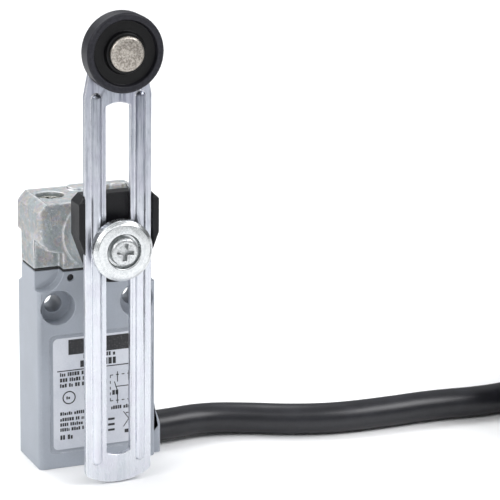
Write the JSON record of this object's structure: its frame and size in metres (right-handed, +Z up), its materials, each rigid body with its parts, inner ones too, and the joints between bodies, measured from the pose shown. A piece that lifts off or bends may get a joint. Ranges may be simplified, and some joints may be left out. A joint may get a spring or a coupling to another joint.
{
  "type": "limit switch",
  "caption": "Compact prewired limit switch: painted die-cast body, cross-screwed head, side rotary shaft, and a slotted lever with an adjustable roller.",
  "frame": {"origin": "on the rear mounting face, midway between the two mounting holes", "axes": "+Z up towards the head and the roller, +X to the cable's side, +Y out of the rear mounting face; the lever is on the -Y side"},
  "size_m": [0.2401, 0.0763, 0.1145],
  "materials": {
    "body_paint": "light blue-grey paint, fine texture, satin",
    "head_zinc": "bare zinc die casting, rough, faintly yellow passivation",
    "plated_steel": "bright zinc plate with a bluish sheen",
    "turned_steel": "turned, bright, concentric marks",
    "zinc_screws": "zinc-plated",
    "dark_steel": "oiled dark steel",
    "rivet_steel": "grainy cold-formed steel",
    "spring_steel": "drawn wire",
    "bronze": "sintered bronze",
    "contact_brass": "rolled strip",
    "silver": "silver contact tips",
    "black_nylon": "glass-filled, fine grain",
    "roller_plastic": "moulded, satin",
    "natural_nylon": "natural",
    "carrier_plastic": "moulded",
    "block_plastic": "moulded",
    "cover_plastic": "moulded",
    "black_rubber": "matt",
    "label_film": "satin silver film",
    "resin": "cast resin",
    "cable_sheath": "black PVC, satin",
    "tie_nylon": "black nylon",
    "core_brown": "PVC insulation",
    "core_blue": "PVC insulation",
    "core_black": "PVC insulation",
    "core_grey": "PVC insulation",
    "core_green": "PVC insulation, green and yellow"
  },
  "bodies": {
    "housing": {"body_casting": "body_paint", "head_casting": "head_zinc", "head_gasket": "black_rubber", "head_screws": "zinc_screws", "rating_label": "label_film", "retaining_pin": "dark_steel", "shaft_bush": "bronze", "shaft_seal": "black_rubber", "contact_block_base": "block_plastic", "contact_block_cover": "cover_plastic", "plunger_seal": "black_rubber", "break_contacts": "contact_brass", "make_contacts": "contact_brass", "fixed_contact_tips": "silver", "contact_spring": "spring_steel", "return_spring": "spring_steel", "core_brown": "core_brown", "core_blue": "core_blue", "core_black": "core_black", "core_grey": "core_grey", "core_earth": "core_green", "earth_lug": "zinc_screws", "earth_screw": "zinc_screws", "cable_ferrule": "dark_steel", "potting_resin": "resin", "cable": "cable_sheath", "cable_hank": "cable_sheath", "hank_ties": "tie_nylon", "end_cores": "core_black"},
    "shaft": {"actuator_shaft": "turned_steel", "shaft_cam": "dark_steel", "shaft_circlip": "dark_steel"},
    "hub": {"lever_hub": "black_nylon", "clamp_washer": "turned_steel", "clamp_screw": "zinc_screws"},
    "lever": {"roller_lever": "plated_steel", "roller_rivet": "rivet_steel"},
    "roller": {"roller": "roller_plastic"},
    "plunger": {"cam_follower": "natural_nylon", "block_plunger": "natural_nylon", "contact_carrier": "carrier_plastic"},
    "bridge": {"contact_bridge": "contact_brass", "bridge_tips": "silver"}
  },
  "joints": [
    {"name": "lever_swing", "type": "hinge", "parent": "housing", "child": "shaft", "pos_m": [0, -0.02, 0.0177], "axis": [0, 1, 0], "range_deg": [-75, 75], "stiffness_Nm_per_rad": 0.2},
    {"name": "lever_index", "type": "hinge", "parent": "shaft", "child": "hub", "pos_m": [0, -0.026, 0.0177], "axis": [0, 1, 0], "continuous": true},
    {"name": "lever_adjust", "type": "slide", "parent": "hub", "child": "lever", "axis": [0, 0, 1], "range_m": [-0.028, 0.046]},
    {"name": "roller_spin", "type": "hinge", "parent": "lever", "child": "roller", "pos_m": [0, -0.033, 0.0645], "axis": [0, 1, 0], "continuous": true},
    {"name": "plunger_travel", "type": "slide", "parent": "housing", "child": "plunger", "axis": [0, 0, -1], "range_m": [0, 0.0022], "stiffness_N_per_m": 150, "springref_m": -0.003, "deforming": ["return_spring"]},
    {"name": "contact_travel", "type": "slide", "parent": "housing", "child": "bridge", "axis": [0, 0, -1], "range_m": [0, 0.002], "deforming": ["contact_spring"]}
  ],
  "couplings": [
    {"joint": "contact_travel", "follows": "plunger_travel", "ratio": 0.9}
  ]
}
